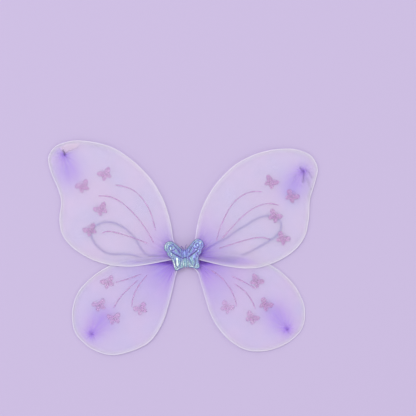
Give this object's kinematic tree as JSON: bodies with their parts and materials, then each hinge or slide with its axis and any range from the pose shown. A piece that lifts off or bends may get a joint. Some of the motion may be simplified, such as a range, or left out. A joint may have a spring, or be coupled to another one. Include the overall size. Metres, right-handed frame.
{
  "type": "costume fairy wings",
  "caption": "Flat-lying costume butterfly wings: wire loops with sheer nylon skins that fold at a padded hub, glitter prints, elastic shoulder straps, puffy butterfly ornament.",
  "frame": {"origin": "middle of the back pad's lower face, which rests against the wearer's back or on a table", "axes": "+X across the wings to the right, +Y up the back towards the upper wings' tops, +Z out of the decorated side"},
  "size_m": [0.5071, 0.4038, 0.0252],
  "materials": {
    "wire_coating": "white plastic-coated steel wire",
    "crimp_metal": "satin crimped tube",
    "nylon_skin": "sheer lilac stocking-knit nylon",
    "nylon_gather": "the same nylon, bunched and opaque",
    "thread": "lilac sewing thread",
    "glitter_glue": "pink glitter in clear glue",
    "felt": "lilac felt",
    "card": "plain card",
    "cloth_tape": "woven tape",
    "elastic": "round braided elastic",
    "foam": "soft foam",
    "holo_film": "iridescent embossed film, blue to aqua and violet",
    "back_film": "plain lilac film"
  },
  "bodies": {
    "left_upper_wing": {"left_upper_wire": "wire_coating", "left_upper_ferrule": "crimp_metal", "left_upper_nylon": "nylon_skin", "left_upper_root_gather": "nylon_gather", "left_upper_tip_tuft": "nylon_gather", "left_upper_tip_tie": "thread", "left_upper_veins": "glitter_glue", "left_upper_butterflies": "glitter_glue"},
    "right_upper_wing": {"right_upper_wire": "wire_coating", "right_upper_ferrule": "crimp_metal", "right_upper_nylon": "nylon_skin", "right_upper_root_gather": "nylon_gather", "right_upper_tip_tuft": "nylon_gather", "right_upper_tip_tie": "thread", "right_upper_veins": "glitter_glue", "right_upper_butterflies": "glitter_glue"},
    "left_lower_wing": {"left_lower_wire": "wire_coating", "left_lower_ferrule": "crimp_metal", "left_lower_nylon": "nylon_skin", "left_lower_root_gather": "nylon_gather", "left_lower_tip_tuft": "nylon_gather", "left_lower_tip_tie": "thread", "left_lower_veins": "glitter_glue", "left_lower_butterflies": "glitter_glue"},
    "right_lower_wing": {"right_lower_wire": "wire_coating", "right_lower_ferrule": "crimp_metal", "right_lower_nylon": "nylon_skin", "right_lower_root_gather": "nylon_gather", "right_lower_tip_tuft": "nylon_gather", "right_lower_tip_tie": "thread", "right_lower_veins": "glitter_glue", "right_lower_butterflies": "glitter_glue"},
    "hub": {"back_pad": "felt", "hub_core": "card", "hub_cover": "felt", "left_strap": "elastic", "right_strap": "elastic", "left_strap_tabs": "cloth_tape", "right_strap_tabs": "cloth_tape", "glue_pad": "foam", "ornament_body": "holo_film", "antenna_left": "holo_film", "antenna_right": "holo_film", "left_upper_sleeve": "cloth_tape", "right_upper_sleeve": "cloth_tape", "left_lower_sleeve": "cloth_tape", "right_lower_sleeve": "cloth_tape"},
    "ornament_left_half": {"ornament_left_front_film": "holo_film", "ornament_left_foam": "foam", "ornament_left_back_film": "back_film"},
    "ornament_right_half": {"ornament_right_front_film": "holo_film", "ornament_right_foam": "foam", "ornament_right_back_film": "back_film"}
  },
  "joints": [
    {"name": "left_wings_fold", "type": "hinge", "parent": "hub", "child": "left_lower_wing", "pos_m": [-0.0135, -0.0085, 0.008], "axis": [0, 1, 0], "range_deg": [0, 60]},
    {"name": "left_upper_wing_spread", "type": "hinge", "parent": "left_lower_wing", "child": "left_upper_wing", "pos_m": [-0.0135, 0.0085, 0.008], "axis": [0, 1, 0], "range_deg": [0, 15]},
    {"name": "ornament_left_flex", "type": "hinge", "parent": "hub", "child": "ornament_left_half", "pos_m": [-0.00568, -0.00039, 0.0132], "axis": [-0.0872, 0.9962, 0], "range_deg": [0, 54]},
    {"name": "right_wings_fold", "type": "hinge", "parent": "hub", "child": "right_lower_wing", "pos_m": [0.0135, -0.0085, 0.008], "axis": [0, -1, 0], "range_deg": [0, 60]},
    {"name": "right_upper_wing_spread", "type": "hinge", "parent": "right_lower_wing", "child": "right_upper_wing", "pos_m": [0.0135, 0.0085, 0.008], "axis": [0, -1, 0], "range_deg": [0, 15]},
    {"name": "ornament_right_flex", "type": "hinge", "parent": "hub", "child": "ornament_right_half", "pos_m": [0.00328, 0.00039, 0.0132], "axis": [0.0872, -0.9962, 0], "range_deg": [0, 54]}
  ],
  "couplings": [
    {"joint": "ornament_left_flex", "follows": "left_wings_fold", "ratio": 0.9},
    {"joint": "ornament_right_flex", "follows": "right_wings_fold", "ratio": 0.9}
  ]
}
